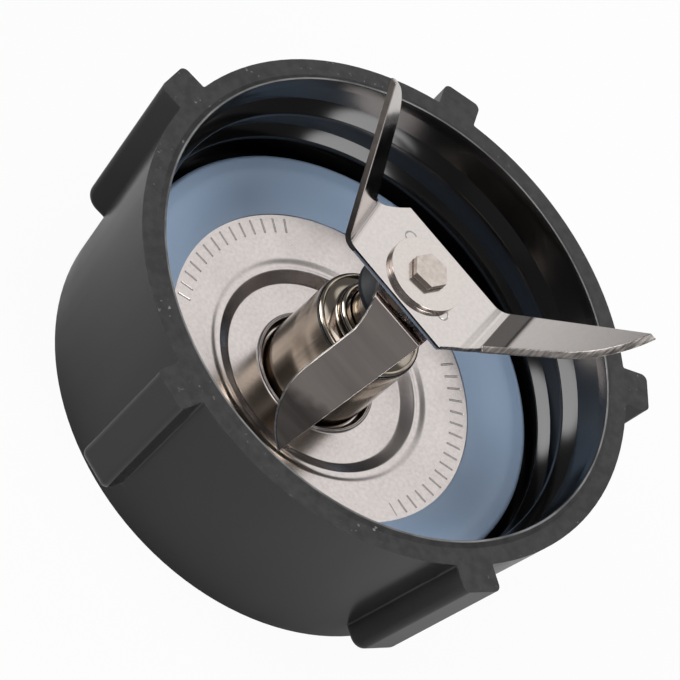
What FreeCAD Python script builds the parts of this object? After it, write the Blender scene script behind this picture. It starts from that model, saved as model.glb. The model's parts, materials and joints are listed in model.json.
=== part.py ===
import FreeCAD, Part
import math
import os
import Sketcher

# A screw-on blade unit for a household blender jar: a moulded collar, a sealing
# ring, a pressed steel plate that carries a bearing tower, and a four-winged rotor.
# Lengths are millimetres and angles are degrees. The origin is on the shaft's axis
# at the bottom edge of the collar, with +Z pointing up into the jar.

doc = FreeCAD.newDocument("blade_unit")
vector = FreeCAD.Vector

# Driving dimensions

DRIVING = {
    # collar that screws on the jar
    "cap_height": 31.0,
    "mouth_radius": 36.3,
    "mouth_draft": 0.6,
    "mouth_bevel_width": 0.55,
    "mouth_bevel_depth": 1.4,
    "cap_top_wall": 3.7,
    "cap_taper": 3.8,
    "ledge_width": 5.7,
    "ledge_thickness": 2.2,
    "skirt_top_wall": 3.2,
    "skirt_bottom_wall": 2.9,
    "plate_seat_height": 11.7,
    # grip lugs
    "lug_count": 5,
    "lug_width": 6.2,
    "lug_height": 4.0,
    "lug_foot_height": 4.5,
    "lug_foot_round": 2.7,
    "lug_root": 1.5,
    "lug_root_round": 0.3,
    "lug_edge_round": 1.0,
    "lug_turn_angle": -13.7,
    # jar thread inside the collar
    "thread_pitch": 6.35,
    "thread_turns": 1.9,
    "thread_depth": 1.6,
    "thread_top_gap": 3.0,
    "thread_upper_flank": 2.1,
    "thread_crest": 0.8,
    "thread_lower_flank": 0.7,
    "thread_bury": 0.5,
    "thread_start_angle": -16.5,
    # sealing ring
    "seal_edge_gap": 2.2,
    "seal_width": 8.9,
    "seal_thickness": 2.7,
    "seal_round": 0.8,
    # pressed plate
    "plate_edge_gap": 2.4,
    "plate_thickness": 1.0,
    "plate_floor_width": 5.25,
    "step_run": 1.7,
    "step_drop": 0.75,
    "shelf_width": 0.7,
    "slope_run": 2.2,
    "slope_drop": 1.0,
    "plate_collar_height": 1.4,
    "plate_round": 0.6,
    # bearing tower
    "tower_wall": 1.9,
    "tower_height": 14.7,
    "tower_fit_gap": 0.05,
    "tower_foot_width": 2.0,
    "tower_foot_thickness": 1.5,
    "tower_rim_round": 0.45,
    "retainer_thickness": 1.0,
    "retainer_width": 2.28,
    "bush_length": 5.2,
    "press_gap": 0.02,
    "running_gap": 0.05,
    "seal_cap_nose_width": 1.0,
    "seal_cap_nose_round": 0.5,
    "seal_cap_cone_width": 1.7,
    "seal_cap_height": 1.95,
    "seal_cap_brim_width": 0.4,
    "seal_cap_brim": 0.25,
    "seal_cap_inset": 0.6,
    "seal_cap_wall": 0.7,
    "seal_length": 2.2,
    # shaft and the pieces stacked on it
    "shaft_radius": 3.0,
    "hex_across_flats": 4.9,
    "hex_turn_angle": 38.0,
    "hex_gap": 0.05,
    "collar_wall": 1.5,
    "collar_clearance": 0.2,
    "thrust_washer_thickness": 0.6,
    "stack_gap": 0.1,
    "spacer_radius": 6.7,
    "spacer_height": 2.4,
    "spacer_flat_gap": 0.1,
    "collar_height": 9.4,
    "blade_thickness": 0.9,
    "blade_gap": 2.4,
    "gap_washer_radius": 5.0,
    "top_washer_radius": 5.85,
    "top_washer_thickness": 0.8,
    "shaft_end_height": 1.0,
    # upper blade
    "upper_half_width": 7.05,
    "upper_fold_distance": 11.44,
    "upper_cut_start": 2.25,
    "upper_cut_end": 3.1,
    "upper_cut_length": 14.5,
    "upper_tip_offset": 2.67,
    "upper_wing_length": 26.2,
    "upper_trim_start": 2.85,
    "upper_trim_sag": 0.3,
    "upper_ground_width": 0.5,
    "upper_ground_depth": 0.7,
    "upper_first_skew_angle": 4.1,
    "upper_first_rise_angle": 55.3,
    "upper_first_bend": 3.0,
    "upper_second_skew_angle": 10.4,
    "upper_second_rise_angle": 64.9,
    "upper_second_bend": 2.0,
    # lower blade
    "lower_half_width": 6.8,
    "lower_fold_distance": 6.0,
    "lower_cut_start": 2.4,
    "lower_neck": 0.95,
    "lower_neck_length": 5.5,
    "lower_neck_sag": 0.2,
    "lower_cut_end": 1.4,
    "lower_cut_length": 14.0,
    "lower_tip_offset": 5.04,
    "lower_wing_length": 24.4,
    "lower_trim_start": 4.5,
    "lower_trim_sag": 0.75,
    "lower_ground_width": 0.25,
    "lower_ground_depth": 0.25,
    "lower_skew_angle": 0.0,
    "lower_drop_angle": 45.0,
    "lower_bend": 1.0,
    # drive coupling under the tower
    "coupling_radius": 8.0,
    "coupling_web": 1.4,
    "socket_width": 8.0,
    "socket_depth": 5.0,
    "slinger_radius": 9.0,
    "slinger_thickness": 0.7,
    "fibre_washer_radius": 5.6,
    "fibre_washer_thickness": 0.5,
}


class Size:
    """A number that remembers the sheet expression it came from."""

    def __init__(self, value, text=None):
        self.value = float(value)
        self.text = text if text is not None else repr(value)

    def __add__(self, other):
        other = as_size(other)
        return Size(self.value + other.value, f"({self.text} + {other.text})")

    def __sub__(self, other):
        other = as_size(other)
        return Size(self.value - other.value, f"({self.text} - {other.text})")

    def __mul__(self, other):
        other = as_size(other)
        return Size(self.value * other.value, f"({self.text} * {other.text})")

    def __truediv__(self, other):
        other = as_size(other)
        return Size(self.value / other.value, f"({self.text} / {other.text})")

    def __neg__(self):
        return Size(-self.value, f"(-1 * {self.text})")

    __radd__ = __add__
    __rmul__ = __mul__


def as_size(number):
    return number if isinstance(number, Size) else Size(number)


def cosine(angle):
    return Size(math.cos(math.radians(angle.value)), f"cos({angle.text} * 1 deg)")


def sine(angle):
    return Size(math.sin(math.radians(angle.value)), f"sin({angle.text} * 1 deg)")


class Sizes:
    """The driving dimensions by name, each bound to its cell."""


sheet = doc.addObject("Spreadsheet::Sheet", "sizes")
sizes = Sizes()
for row, (alias, value) in enumerate(DRIVING.items(), start=1):
    sheet.set(f"A{row}", alias)
    sheet.set(f"B{row}", str(value))
    sheet.setAlias(f"B{row}", alias)
    setattr(sizes, alias, Size(value, f"sizes.{alias}"))
doc.recompute()

# Helpers for bodies, sketches and features


def new_body(label):
    body = doc.addObject("PartDesign::Body", label)
    body.Label = label
    return body


def origin_plane(body, role):
    return next(feature for feature in body.Origin.OriginFeatures if feature.Role == role)


def outline(body, name, plane, points, offset=None):
    """A closed sketch whose corners are held by the sheet."""
    sketch = body.newObject("Sketcher::SketchObject", name)
    sketch.AttachmentSupport = [(origin_plane(body, plane), "")]
    sketch.MapMode = "FlatFace"
    if offset is not None:
        sketch.setExpression(".AttachmentOffset.Base.z", offset.text)
    corners = [(as_size(across), as_size(up)) for across, up in points]
    count = len(corners)
    for index in range(count):
        start, end = corners[index], corners[(index + 1) % count]
        ends = [vector(corner[0].value, corner[1].value, 0) for corner in (start, end)]
        sketch.addGeometry(Part.LineSegment(*ends), False)
    for index, (across, up) in enumerate(corners):
        sketch.addConstraint(Sketcher.Constraint("Coincident", index, 2, (index + 1) % count, 1))
        for kind, size in (("DistanceX", across), ("DistanceY", up)):
            number = sketch.addConstraint(Sketcher.Constraint(kind, -1, 1, index, 1, size.value))
            sketch.setExpression(f"Constraints[{number}]", size.text)
    return sketch


def circle(body, name, plane, radius, offset=None):
    """A sketch of one circle on the axis."""
    sketch = body.newObject("Sketcher::SketchObject", name)
    sketch.AttachmentSupport = [(origin_plane(body, plane), "")]
    sketch.MapMode = "FlatFace"
    if offset is not None:
        sketch.setExpression(".AttachmentOffset.Base.z", offset.text)
    sketch.addGeometry(Part.Circle(vector(0, 0, 0), vector(0, 0, 1), radius.value), False)
    sketch.addConstraint(Sketcher.Constraint("Coincident", 0, 3, -1, 1))
    number = sketch.addConstraint(Sketcher.Constraint("Radius", 0, radius.value))
    sketch.setExpression(f"Constraints[{number}]", radius.text)
    return sketch


def revolve(body, name, points):
    """Turn a closed section (radius, height) about the axis."""
    section = outline(body, f"{name}_section", "XZ_Plane", points)
    feature = body.newObject("PartDesign::Revolution", name)
    feature.Profile = section
    feature.ReferenceAxis = (section, ["V_Axis"])
    feature.Angle = 360
    doc.recompute()
    return feature


def pad(body, name, sketch, length, both_sides=False):
    feature = body.newObject("PartDesign::Pad", name)
    feature.Profile = sketch
    feature.setExpression("Length", length.text)
    feature.Midplane = both_sides
    doc.recompute()
    return feature


def cut_through(body, name, sketch):
    """Cut a sketch right through the body, both ways."""
    before = body.Shape.Volume
    feature = body.newObject("PartDesign::Pocket", name)
    feature.Profile = sketch
    feature.Type = "ThroughAll"
    feature.Midplane = True
    doc.recompute()
    if feature.Shape.Volume >= before:
        raise RuntimeError(f"{name} cut nothing")
    return feature


def round_edges(body, name, radius, wanted):
    """Round the edges that the test picks out."""
    tip = body.Tip
    names = [f"Edge{number}" for number, edge in enumerate(tip.Shape.Edges, start=1) if wanted(edge)]
    if not names:
        raise RuntimeError(f"{name} found no edge")
    feature = body.newObject("PartDesign::Fillet", name)
    feature.Base = (tip, names)
    feature.setExpression("Radius", radius.text)
    doc.recompute()
    return feature


def ring_edge(radius, height):
    """A test for the full circle at a radius and height."""
    def wanted(edge):
        curve = edge.Curve
        if not isinstance(curve, Part.Circle):
            return False
        return abs(curve.Radius - radius.value) < 0.001 and abs(curve.Center.z - height.value) < 0.001
    return wanted


def any_of(*tests):
    return lambda edge: any(test(edge) for test in tests)


def hexagon(gap):
    """Corners of the shaft's hexagon, opened by a gap on each flat."""
    corner = (sizes.hex_across_flats / 2 + gap) / cosine(Size(30))
    angles = [sizes.hex_turn_angle + 60 * step for step in range(6)]
    return [(corner * cosine(angle), corner * sine(angle)) for angle in angles]


def ring(label, outer, inner, low, high):
    """A plain washer or sleeve."""
    body = new_body(label)
    revolve(body, f"{label}_ring", [(inner, low), (outer, low), (outer, high), (inner, high)])
    return body


def hex_washer(label, outer, low, high):
    """A round washer with a hexagonal hole that the shaft drives."""
    body = new_body(label)
    pad(body, f"{label}_disc", circle(body, f"{label}_rim", "XY_Plane", outer, low), high - low)
    cut_through(body, f"{label}_hole", outline(body, f"{label}_hexagon", "XY_Plane", hexagon(sizes.hex_gap)))
    return body


# Radii of the collar, from the jar's mouth outwards and inwards

cap_top_radius = sizes.mouth_radius + sizes.cap_top_wall
cap_bottom_radius = cap_top_radius - sizes.cap_taper
bore_low_radius = sizes.mouth_radius - sizes.mouth_draft
ledge_radius = bore_low_radius - sizes.ledge_width
plate_radius = bore_low_radius - sizes.plate_edge_gap
seal_outer_radius = bore_low_radius - sizes.seal_edge_gap
seal_inner_radius = seal_outer_radius - sizes.seal_width

# Radii of the bearing, from the shaft out to the plate's dish

collar_radius = sizes.shaft_radius + sizes.collar_wall
cap_hole_radius = collar_radius + sizes.collar_clearance
cap_nose_radius = cap_hole_radius + sizes.seal_cap_nose_width
cap_foot_radius = cap_nose_radius + sizes.seal_cap_cone_width
cap_brim_radius = cap_foot_radius + sizes.seal_cap_brim_width
tower_radius = cap_brim_radius + sizes.seal_cap_inset
tower_bore_radius = tower_radius - sizes.tower_wall
tower_foot_radius = tower_radius + sizes.tower_foot_width
plate_hole_radius = tower_radius + sizes.tower_fit_gap
plate_collar_radius = plate_hole_radius + sizes.plate_thickness
step_inner_radius = plate_collar_radius + sizes.plate_floor_width
shelf_inner_radius = step_inner_radius + sizes.step_run
slope_inner_radius = shelf_inner_radius + sizes.shelf_width
slope_outer_radius = slope_inner_radius + sizes.slope_run

# Heights of the stack, from the plate up and down

plate_top = sizes.plate_seat_height + sizes.plate_thickness
floor_top = plate_top - sizes.slope_drop - sizes.step_drop
floor_under = floor_top - sizes.plate_thickness
tower_foot = floor_under - sizes.tower_foot_thickness
tower_top = floor_top + sizes.tower_height
lower_bush_low = tower_foot + sizes.retainer_thickness
lower_bush_high = lower_bush_low + sizes.bush_length
seal_cap_low = tower_top - sizes.seal_cap_wall
shaft_seal_low = seal_cap_low - sizes.seal_length
upper_bush_high = shaft_seal_low - sizes.stack_gap
upper_bush_low = upper_bush_high - sizes.bush_length
thrust_low = upper_bush_high + sizes.running_gap
thrust_high = thrust_low + sizes.thrust_washer_thickness
collar_high = thrust_high + sizes.collar_height
spacer_high = collar_high + sizes.spacer_height
lower_blade_top = spacer_high + sizes.blade_thickness
upper_blade_low = lower_blade_top + sizes.blade_gap
upper_blade_top = upper_blade_low + sizes.blade_thickness
top_washer_high = upper_blade_top + sizes.top_washer_thickness
shaft_top = top_washer_high + sizes.shaft_end_height
fibre_high = tower_foot - sizes.running_gap
fibre_low = fibre_high - sizes.fibre_washer_thickness
slinger_low = fibre_low - sizes.slinger_thickness
web_low = slinger_low - sizes.coupling_web
coupling_low = web_low - sizes.socket_depth
shaft_hole = sizes.shaft_radius + sizes.press_gap


def wall_radius(height, low_radius, high_radius):
    """Radius of the collar's tapered wall at a height."""
    return low_radius + (high_radius - low_radius) * (height / sizes.cap_height)


def make_jar_cap():
    """The moulded collar: tapered wall, inner ledge, jar thread and five grip lugs."""
    body = new_body("jar_cap")
    top = sizes.cap_height
    ledge_top = sizes.plate_seat_height
    ledge_under = ledge_top - sizes.ledge_thickness
    outer_at_ledge = wall_radius(ledge_under, cap_bottom_radius, cap_top_radius)
    revolve(body, "cap_wall", [
        (cap_bottom_radius, 0),
        (cap_top_radius, top),
        (sizes.mouth_radius + sizes.mouth_bevel_width, top),
        (sizes.mouth_radius, top - sizes.mouth_bevel_depth),
        (bore_low_radius, ledge_top),
        (ledge_radius, ledge_top),
        (ledge_radius, ledge_under),
        (outer_at_ledge - sizes.skirt_top_wall, ledge_under),
        (cap_bottom_radius - sizes.skirt_bottom_wall, 0),
    ])

    lug_low = sizes.lug_foot_height
    wall_low = wall_radius(lug_low, cap_bottom_radius, cap_top_radius)
    lug_side = outline(body, "lug_side", "XZ_Plane", [
        (wall_low - sizes.lug_root, lug_low),
        (wall_low + sizes.lug_height, lug_low),
        (cap_top_radius + sizes.lug_height, top),
        (cap_top_radius - sizes.lug_root, top),
    ])
    lug = pad(body, "lug", lug_side, sizes.lug_width, both_sides=True)
    lugs = body.newObject("PartDesign::PolarPattern", "lugs")
    lugs.Originals = [lug]
    lugs.Axis = (lug_side, ["V_Axis"])
    lugs.Angle = 360
    lugs.setExpression("Occurrences", sizes.lug_count.text)
    body.Tip = lugs
    doc.recompute()

    outer = (wall_low + sizes.lug_height).value

    def lug_toe(edge):
        centre = edge.CenterOfMass
        return abs(centre.z - lug_low.value) < 0.01 and abs(math.hypot(centre.x, centre.y) - outer) < 0.01
    round_edges(body, "lug_toes", sizes.lug_foot_round, lug_toe)

    side = sizes.lug_width.value / 2

    def lug_ridge(edge):
        centre = edge.CenterOfMass
        away = math.hypot(centre.x, centre.y)
        upright = abs(edge.tangentAt(edge.FirstParameter).z) > 0.9
        wall = wall_radius(Size(centre.z), cap_bottom_radius, cap_top_radius).value
        return upright and abs(away - math.hypot(wall + sizes.lug_height.value, side)) < 0.05
    round_edges(body, "lug_ridges", sizes.lug_edge_round, lug_ridge)

    def lug_joint(edge):
        centre = edge.CenterOfMass
        wall = wall_radius(Size(centre.z), cap_bottom_radius, cap_top_radius).value
        upright = abs(edge.tangentAt(edge.FirstParameter).z) > 0.9
        return upright and abs(math.hypot(centre.x, centre.y) - wall) < 0.05
    round_edges(body, "lug_joints", sizes.lug_root_round, lug_joint)

    start = top - sizes.thread_top_gap - sizes.thread_pitch * sizes.thread_turns
    crest_high = start - sizes.thread_upper_flank
    crest_low = crest_high - sizes.thread_crest
    foot = crest_low - sizes.thread_lower_flank
    crest = sizes.mouth_radius - sizes.thread_depth
    buried = sizes.mouth_radius + sizes.thread_bury
    thread_section = outline(body, "thread_section", "XZ_Plane", [
        (buried, start),
        (sizes.mouth_radius, start),
        (crest, crest_high),
        (crest, crest_low),
        (sizes.mouth_radius, foot),
        (buried, foot),
    ])
    turn = sizes.thread_start_angle - sizes.lug_turn_angle
    thread_section.AttachmentOffset.Rotation = FreeCAD.Rotation(vector(0, 1, 0), turn.value)
    thread_section.setExpression(".AttachmentOffset.Rotation.Angle", f"{turn.text} * 1 deg")
    thread = body.newObject("PartDesign::AdditiveHelix", "jar_thread")
    thread.Profile = thread_section
    thread.ReferenceAxis = (thread_section, ["V_Axis"])
    thread.Mode = "pitch-turns-angle"
    thread.setExpression("Pitch", sizes.thread_pitch.text)
    thread.setExpression("Turns", sizes.thread_turns.text)
    doc.recompute()
    body.Placement.Rotation = FreeCAD.Rotation(vector(0, 0, 1), sizes.lug_turn_angle.value)
    body.setExpression("Placement.Rotation.Angle", f"{sizes.lug_turn_angle.text} * 1 deg")
    return body


def make_sealing_ring():
    """The soft ring that the jar's mouth presses on the plate's margin."""
    body = ring("sealing_ring", seal_outer_radius, seal_inner_radius,
                plate_top, plate_top + sizes.seal_thickness)
    top = plate_top + sizes.seal_thickness
    corners = any_of(
        ring_edge(seal_outer_radius, top),
        ring_edge(seal_inner_radius, top),
        ring_edge(seal_outer_radius, plate_top),
        ring_edge(seal_inner_radius, plate_top),
    )
    round_edges(body, "sealing_ring_rounds", sizes.seal_round, corners)
    return body


def make_flange_plate():
    """The pressed plate: flat margin, dished middle and a collar turned up round the tower."""
    body = new_body("flange_plate")
    thick = sizes.plate_thickness
    shelf_top = plate_top - sizes.slope_drop
    collar_top = floor_top + sizes.plate_collar_height
    above = [
        (plate_radius, plate_top),
        (slope_outer_radius, plate_top),
        (slope_inner_radius, shelf_top),
        (shelf_inner_radius, shelf_top),
        (step_inner_radius, floor_top),
        (plate_collar_radius, floor_top),
        (plate_collar_radius, collar_top),
    ]
    below = [(plate_hole_radius, collar_top), (plate_hole_radius, floor_under)]
    below += [(radius, height - thick) for radius, height in reversed(above[:5])]
    revolve(body, "pressing", above + below)
    bends = any_of(*[ring_edge(radius, height) for radius, height in above[1:5]])
    round_edges(body, "press_rounds", sizes.plate_round, bends)
    return body


def make_bearing_tower():
    """The turned tower, clamped under the plate by its foot."""
    body = new_body("bearing_tower")
    revolve(body, "tower_wall", [
        (tower_bore_radius, tower_foot),
        (tower_foot_radius, tower_foot),
        (tower_foot_radius, floor_under),
        (tower_radius, floor_under),
        (tower_radius, tower_top),
        (tower_bore_radius, tower_top),
    ])
    round_edges(body, "tower_rim", sizes.tower_rim_round, ring_edge(tower_radius, tower_top))
    return body


def make_seal_cap():
    """The stepped cap that holds the shaft's seal in the tower's mouth."""
    body = new_body("seal_cap")
    plug = tower_bore_radius - sizes.press_gap
    brim_top = tower_top + sizes.seal_cap_brim
    nose_top = tower_top + sizes.seal_cap_height
    inner_foot = plug - sizes.seal_cap_wall
    revolve(body, "seal_cap_shell", [
        (inner_foot, seal_cap_low),
        (plug, seal_cap_low),
        (plug, tower_top),
        (cap_brim_radius, tower_top),
        (cap_brim_radius, brim_top),
        (cap_foot_radius, brim_top),
        (cap_nose_radius, nose_top),
        (cap_hole_radius, nose_top),
        (cap_hole_radius, nose_top - sizes.seal_cap_wall),
        (cap_nose_radius - sizes.seal_cap_wall, nose_top - sizes.seal_cap_wall),
        (inner_foot, tower_top),
    ])
    nose_edge = ring_edge(cap_nose_radius, nose_top)
    round_edges(body, "seal_cap_nose", sizes.seal_cap_nose_round, nose_edge)
    return body


def make_drive_shaft():
    """The spindle: round in its bushes, hexagonal where it drives."""
    body = new_body("drive_shaft")
    revolve(body, "journal", [
        (0, slinger_low),
        (sizes.shaft_radius, slinger_low),
        (sizes.shaft_radius, collar_high),
        (0, collar_high),
    ])
    tail = outline(body, "tail_hexagon", "XY_Plane", hexagon(Size(0)), web_low)
    pad(body, "tail", tail, slinger_low - web_low)
    head = outline(body, "head_hexagon", "XY_Plane", hexagon(Size(0)), collar_high)
    pad(body, "head", head, shaft_top - collar_high)
    return body


def make_drive_coupling():
    """The coupling under the tower, with a square socket for the motor's stud."""
    body = new_body("drive_coupling")
    rim = circle(body, "coupling_rim", "XY_Plane", sizes.coupling_radius, coupling_low)
    pad(body, "coupling_disc", rim, slinger_low - coupling_low)
    half = sizes.socket_width / 2
    square = [(-half, -half), (half, -half), (half, half), (-half, half)]
    before = body.Shape.Volume
    socket = body.newObject("PartDesign::Pocket", "socket")
    socket.Profile = outline(body, "socket_square", "XY_Plane", square, coupling_low)
    socket.Reversed = True
    socket.setExpression("Length", sizes.socket_depth.text)
    doc.recompute()
    if socket.Shape.Volume >= before:
        raise RuntimeError("socket cut nothing")
    cut_through(body, "coupling_hole", outline(body, "coupling_hexagon", "XY_Plane", hexagon(sizes.hex_gap)))
    return body


class BladeForm:
    """The sizes of one pair of wings, as plain numbers."""

    def __init__(self, prefix, top):
        def read(name):
            return getattr(sizes, f"{prefix}_{name}").value
        self.top = top.value
        self.thickness = sizes.blade_thickness.value
        self.half_width = read("half_width")
        self.fold_distance = read("fold_distance")
        self.cut_start = read("cut_start")
        self.cut_end = read("cut_end")
        self.cut_length = read("cut_length")
        self.tip_offset = read("tip_offset")
        self.wing_length = read("wing_length")
        self.trim_start = read("trim_start")
        self.trim_sag = read("trim_sag")
        self.ground_width = read("ground_width")
        self.ground_depth = read("ground_depth")


def tangent_arc(start, towards, end):
    """An arc that leaves start in a direction and ends at a point."""
    heading = (start - towards).normalize()
    chord = end - start
    across = (chord - heading * chord.dot(heading)).normalize()
    radius = chord.dot(chord) / (2 * chord.dot(across))
    centre = start + across * radius
    middle = centre + ((start - centre) + (end - centre)).normalize() * radius
    return Part.Arc(start, middle, end).toShape()


def sagged_arc(start, end, towards, sag):
    """An arc between two points, bowed towards a third."""
    middle = (start + end) * 0.5
    chord = (end - start).normalize()
    pull = towards - middle
    pull = (pull - chord * pull.dot(chord)).normalize()
    return Part.Arc(start, middle + pull * sag, end).toShape()


def edge(start, end):
    return Part.LineSegment(start, end).toShape()


def path(points):
    """Straight edges through the points in turn."""
    return [edge(start, end) for start, end in zip(points, points[1:])]


def sheet_of(edges, thickness):
    """A flat sheet under a closed outline."""
    return Part.Face(Part.Wire(Part.__sortEdges__(edges))).extrude(thickness)


class Wing:
    """One wing: its fold line, the bend and the tapered plate beyond it."""

    def __init__(self, form, turn, skew, rise, bend):
        self.form = form
        self.side = 1 if rise > 0 else -1
        turned = FreeCAD.Rotation(vector(0, 0, 1), turn)
        fold = FreeCAD.Rotation(vector(0, 0, 1), turn + skew)
        self.along = fold.multVec(vector(1, 0, 0))
        self.outward = fold.multVec(vector(0, 1, 0))
        self.rise = rise
        # the fold is measured on the top face, which is the outer face of a downward bend
        self.radius = bend if rise > 0 else bend + form.thickness
        self.reach = self.radius * math.tan(math.radians(abs(rise) / 2))
        self.origin = turned.multVec(vector(0, form.fold_distance, 0)) + vector(0, 0, form.top)
        self.corner = turned.multVec(vector(form.half_width, form.fold_distance - form.trim_start, form.top))
        tilt = FreeCAD.Rotation(self.along, rise)
        self.up_wing = tilt.multVec(self.outward)
        self.normal = tilt.multVec(vector(0, 0, 1))

    def on_hub(self, across, out):
        return self.origin + self.along * across + self.outward * out

    def on_wing(self, across, out):
        return self.origin + self.along * across + self.up_wing * out

    def bend(self):
        """The bend over the sheet's full width, before its corner is trimmed."""
        form = self.form
        back = self.on_hub(-form.half_width, -self.reach)
        front = self.on_hub(form.half_width, -self.reach)
        down = vector(0, 0, -form.thickness)
        section = Part.Face(Part.makePolygon([back, front, front + down, back + down, back]))
        axis = back + vector(0, 0, self.side * self.radius)
        return section.revolve(axis, self.along, self.rise)

    def trimming(self):
        """What the punch takes off the hub's corner and the bend, as an upright prism."""
        form = self.form
        root = self.on_wing(form.cut_start, self.reach)
        root.z = form.top
        beyond = root + self.outward * (2 * form.thickness)
        aside = self.along * (2 * form.half_width)
        edges = [sagged_arc(self.corner, root, vector(0, 0, form.top), form.trim_sag)]
        edges += path([root, beyond, beyond + aside, self.corner + aside, self.corner])
        deep = vector(0, 0, form.wing_length)
        return sheet_of([side.translated(deep * -1) for side in edges], deep * 2)

    def plate(self, neck=None):
        """The wing beyond the bend, its cutting edge ground on the top face."""
        form = self.form
        back = self.on_wing(-form.half_width, self.reach)
        tip = self.on_wing(-form.tip_offset, form.wing_length)
        cut_end = self.on_wing(form.cut_end, form.cut_length)
        cut_start = self.on_wing(form.cut_start, self.reach)
        if neck is None:
            lead = cut_start
            edges = path([cut_end, cut_start, back, tip])
        else:
            across, out, sag = neck
            lead = self.on_wing(across, out)
            edges = [sagged_arc(lead, cut_start, self.on_wing(-form.half_width, out), sag)]
            edges += path([cut_end, lead]) + path([cut_start, back, tip])
        edges += [tangent_arc(cut_end, lead, tip)]
        blank = sheet_of(edges, self.normal * -form.thickness)
        ground = [side for side in blank.Edges if self.is_cutting(side)]
        return blank.makeChamfer(form.ground_depth, form.ground_width, ground)

    def is_cutting(self, side):
        """True for the edges of the top face between the root and the tip on the cutting side."""
        ends = [side.valueAt(place) - self.origin for place in (side.FirstParameter, side.LastParameter)]
        on_top = all(abs(end.dot(self.normal)) < 0.001 for end in ends)
        past_root = max(end.dot(self.up_wing) for end in ends) > self.reach + 0.001
        middle = side.CenterOfMass - self.origin
        return on_top and past_root and middle.dot(self.along) > self.middle_line(middle.dot(self.up_wing))

    def middle_line(self, out):
        """Where the wing's middle lies across the fold, at a distance out from it."""
        form = self.form
        share = out / form.wing_length
        back = -form.half_width + (form.half_width - form.tip_offset) * share
        front = form.cut_start - (form.cut_start + form.tip_offset) * share
        return (back + front) / 2


def blade_shape(form, wings, neck=None):
    """A flat hub whose two wings are folded from the same sheet."""
    edges = []
    for wing, following in zip(wings, wings[1:] + wings[:1]):
        back = wing.on_hub(-form.half_width, -wing.reach)
        front = wing.on_hub(form.half_width, -wing.reach)
        next_back = following.on_hub(-form.half_width, -following.reach)
        edges += path([back, front, wing.corner, next_back])
    hub = sheet_of(edges, vector(0, 0, -form.thickness))
    folded = hub.multiFuse([wing.bend() for wing in wings])
    trimmed = folded.cut([wing.trimming() for wing in wings])
    blank = trimmed.multiFuse([wing.plate(neck) for wing in wings]).removeSplitter()
    corners = [vector(across.value, up.value, form.top) for across, up in hexagon(sizes.hex_gap)]
    hole = Part.Face(Part.makePolygon(corners + corners[:1])).extrude(vector(0, 0, -form.thickness))
    return blank.cut(hole)


def new_feature(label, shape):
    feature = doc.addObject("Part::Feature", label)
    feature.Label = label
    feature.Shape = shape
    feature.Placement = FreeCAD.Placement()
    return feature


def make_upper_blade():
    """The upper blade: both wings folded up, on skewed fold lines and at unlike angles."""
    form = BladeForm("upper", upper_blade_top)
    wings = [
        Wing(form, 0, sizes.upper_first_skew_angle.value, sizes.upper_first_rise_angle.value,
             sizes.upper_first_bend.value),
        Wing(form, 180, sizes.upper_second_skew_angle.value, sizes.upper_second_rise_angle.value,
             sizes.upper_second_bend.value),
    ]
    return new_feature("upper_blade", blade_shape(form, wings))


def make_lower_blade():
    """The lower blade: both wings folded down, square to the upper pair."""
    form = BladeForm("lower", lower_blade_top)
    neck = (sizes.lower_neck.value, sizes.lower_neck_length.value, sizes.lower_neck_sag.value)
    skew = sizes.lower_skew_angle.value
    drop = sizes.lower_drop_angle.value
    wings = [Wing(form, turn, skew, -drop, sizes.lower_bend.value) for turn in (-90, 90)]
    return new_feature("lower_blade", blade_shape(form, wings, neck))


def make_blade_spacer():
    """The disc under the blades, with a flat on each side for the wings that fold down."""
    body = hex_washer("blade_spacer", sizes.spacer_radius, collar_high, spacer_high)
    half_drop = sizes.lower_drop_angle / 2
    bend = (sizes.lower_bend + sizes.blade_thickness) * (sine(half_drop) / cosine(half_drop))
    flat = sizes.lower_fold_distance - bend - sizes.spacer_flat_gap
    beyond = sizes.spacer_radius * 2
    for name, near, far in (("right_flat", flat, beyond), ("left_flat", -beyond, -flat)):
        corners = [(near, -beyond), (far, -beyond), (far, beyond), (near, beyond)]
        cut_through(body, f"spacer_{name}", outline(body, f"spacer_{name}_outline", "XY_Plane", corners))
    return body


def make_stack():
    """Bushes, washers and sleeves, from the coupling up to the shaft's end."""
    bush_outer = tower_bore_radius - sizes.press_gap
    retainer_hole = bush_outer - sizes.retainer_width
    bush_inner = sizes.shaft_radius + sizes.running_gap
    collar_bore = sizes.shaft_radius + sizes.press_gap
    seal_bore = collar_radius + sizes.running_gap
    return [
        ring("slinger_washer", sizes.slinger_radius, shaft_hole, slinger_low, fibre_low),
        ring("fibre_washer", sizes.fibre_washer_radius, shaft_hole, fibre_low, fibre_high),
        ring("bush_retainer", bush_outer, retainer_hole, tower_foot, lower_bush_low),
        ring("lower_bush", bush_outer, bush_inner, lower_bush_low, lower_bush_high),
        ring("oil_felt", bush_outer, bush_inner, lower_bush_high, upper_bush_low),
        ring("upper_bush", bush_outer, bush_inner, upper_bush_low, upper_bush_high),
        ring("shaft_seal", bush_outer, seal_bore, shaft_seal_low, seal_cap_low),
        ring("thrust_washer", collar_radius, shaft_hole, thrust_low, thrust_high),
        ring("neck_collar", collar_radius, collar_bore, thrust_high, collar_high),
        make_blade_spacer(),
        hex_washer("gap_washer", sizes.gap_washer_radius, lower_blade_top, upper_blade_low),
        hex_washer("top_washer", sizes.top_washer_radius, upper_blade_top, top_washer_high),
    ]


def check(pieces):
    """Stop on a failed feature or a bad solid."""
    failed = [item.Name for item in doc.Objects if {"Invalid", "Error"} & set(item.State)]
    if failed:
        raise RuntimeError(f"failed objects: {failed}")
    for piece in pieces:
        if piece.Shape.isNull() or not piece.Shape.isValid():
            raise RuntimeError(f"bad shape: {piece.Label}")


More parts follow.
